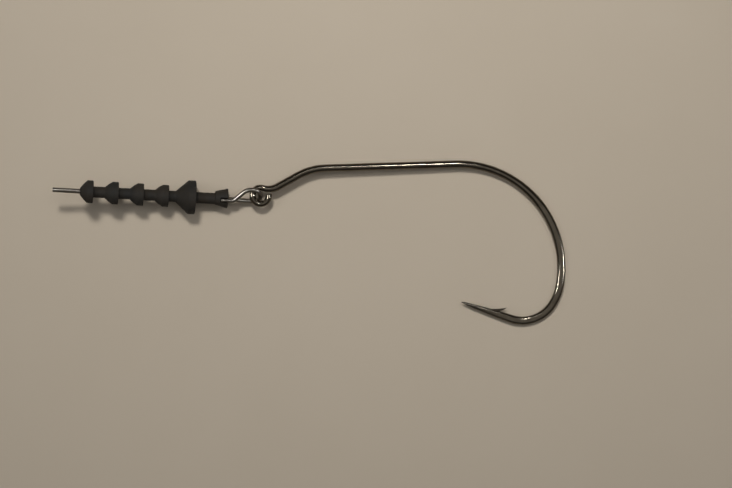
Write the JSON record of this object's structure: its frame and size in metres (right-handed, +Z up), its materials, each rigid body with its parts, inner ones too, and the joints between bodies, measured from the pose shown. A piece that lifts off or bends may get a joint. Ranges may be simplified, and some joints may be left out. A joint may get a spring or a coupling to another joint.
{
  "type": "worm hook with bait keeper",
  "caption": "Offset-shank, wide-gap worm hook with a ring eye and, hinged in the eye, a barbed plastic bait keeper with a wire nose pin.",
  "frame": {"origin": "middle of the bottom of the whole part, which lies on its side on the surface z = 0", "axes": "+X from the keeper's nose pin along the shank to the hook's bend, +Y from the hook's point up to its shank, +Z up from the surface the part lies on"},
  "size_m": [0.0816, 0.0264, 0.0069],
  "materials": {
    "hook_steel": "black-nickel plated, glossy, slightly bronze",
    "keeper_steel": "bright drawn stainless wire",
    "sleeve_plastic": "dark moulded plastic, satin"
  },
  "bodies": {
    "hook_body": {"hook": "hook_steel"},
    "keeper_body": {"keeper_wire": "keeper_steel", "keeper_sleeve": "sleeve_plastic"}
  },
  "joints": [
    {"name": "keeper_swing", "type": "hinge", "parent": "hook_body", "child": "keeper_body", "pos_m": [-0.008, 0.00747, 0.0021], "axis": [0, 0, 1], "range_deg": [-130, 170]}
  ]
}
